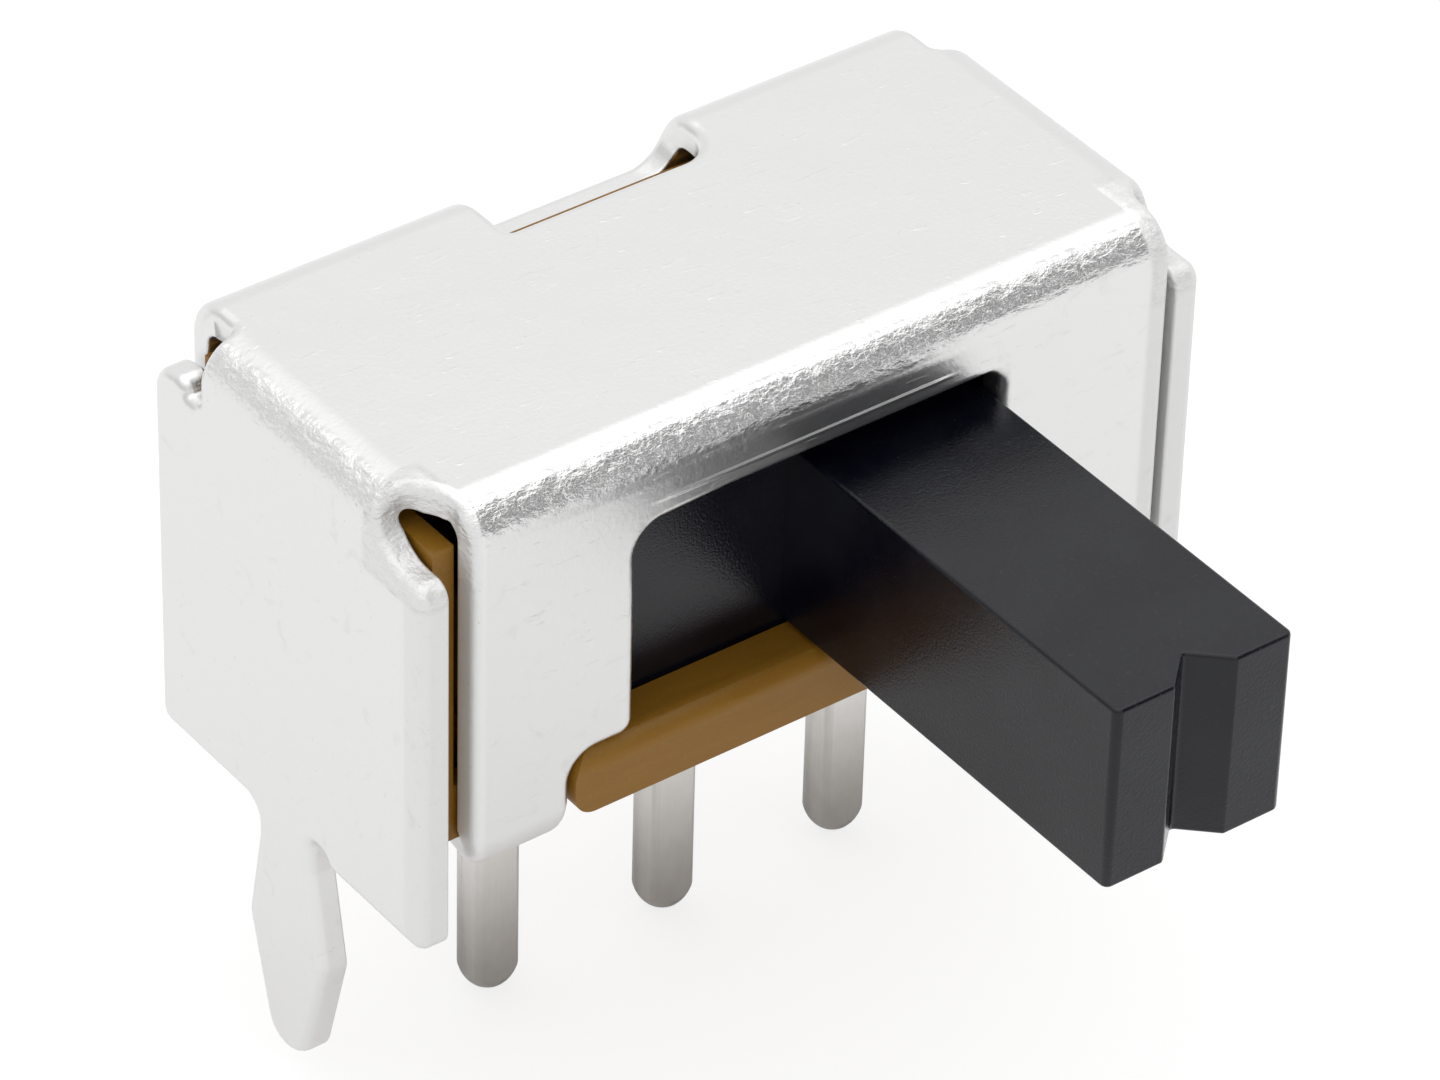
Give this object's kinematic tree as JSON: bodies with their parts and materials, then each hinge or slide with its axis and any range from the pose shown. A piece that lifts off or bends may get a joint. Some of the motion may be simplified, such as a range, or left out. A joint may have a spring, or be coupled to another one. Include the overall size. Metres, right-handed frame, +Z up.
{
  "type": "slide switch",
  "caption": "Miniature right-angle slide switch for circuit boards: folded metal shell with ground legs, moulded base, long side actuator and straight terminals.",
  "frame": {"origin": "centre terminal's axis at the board's surface", "axes": "+X along the actuator's travel, -Y the way the actuator points, +Z up, away from the board"},
  "size_m": [0.0086, 0.0083, 0.0075],
  "materials": {
    "shell": "tinned, semi-matt",
    "base": "moulded, amber brown",
    "slider": "moulded, fine matt, black",
    "contact": "phosphor bronze strip",
    "terminal": "tinned"
  },
  "bodies": {
    "housing": {"shell": "shell", "base": "base", "terminal_left": "terminal", "terminal_centre": "terminal", "terminal_right": "terminal"},
    "actuator": {"slider": "slider", "moving_contact": "contact"}
  },
  "joints": [
    {"name": "slider_travel", "type": "slide", "parent": "housing", "child": "actuator", "axis": [1, 0, 0], "range_m": [-0.002, 0]}
  ]
}
